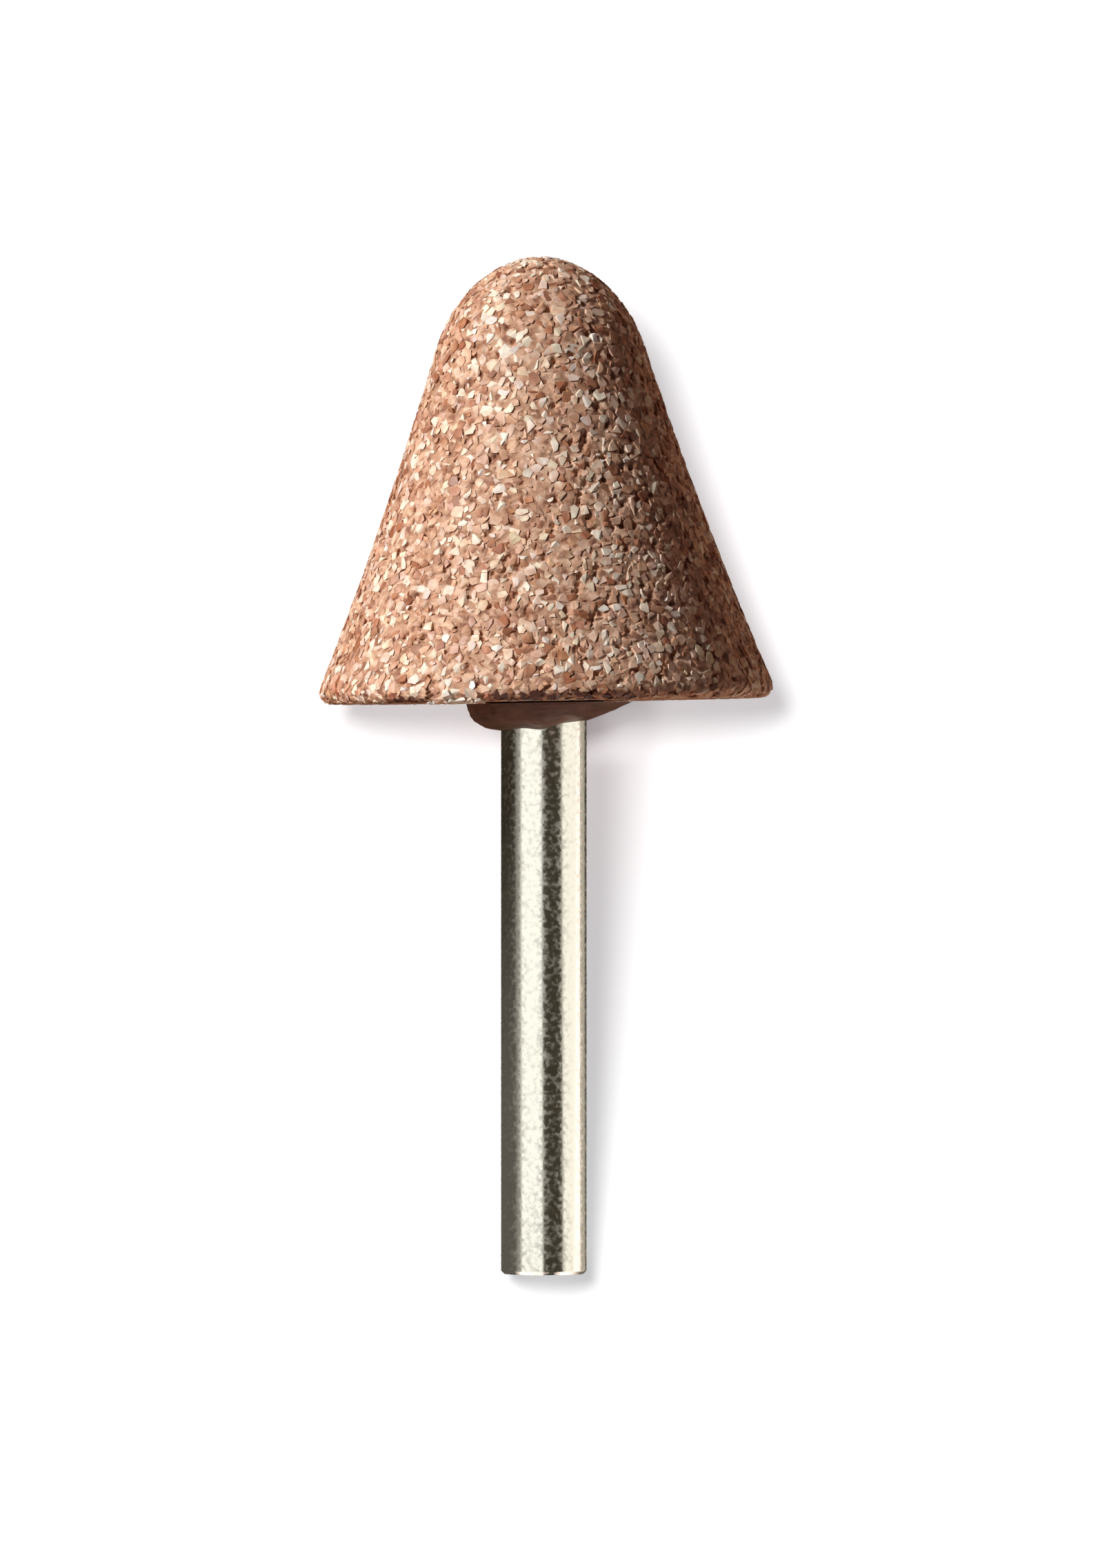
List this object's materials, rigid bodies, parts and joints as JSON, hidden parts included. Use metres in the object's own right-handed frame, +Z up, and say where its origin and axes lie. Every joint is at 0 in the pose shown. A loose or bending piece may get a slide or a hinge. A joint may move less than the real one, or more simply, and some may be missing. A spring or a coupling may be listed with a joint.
{
  "type": "mounted point",
  "caption": "Bell-shaped grinding head of bonded abrasive grit, cemented onto a plain plated steel pin for a rotary tool's collet.",
  "frame": {"origin": "on the surface that the point lies on, under the middle of its box", "axes": "+Z up, +Y from the shank towards the head, which lies raised on its rim and the shank's end"},
  "size_m": [0.0168, 0.0366, 0.0161],
  "materials": {
    "abrasive": "matte",
    "plated_steel": "polished",
    "cement": "satin"
  },
  "bodies": {
    "root": {"abrasive_head": "abrasive", "steel_pin": "plated_steel", "cement_bead": "cement"}
  },
  "joints": []
}
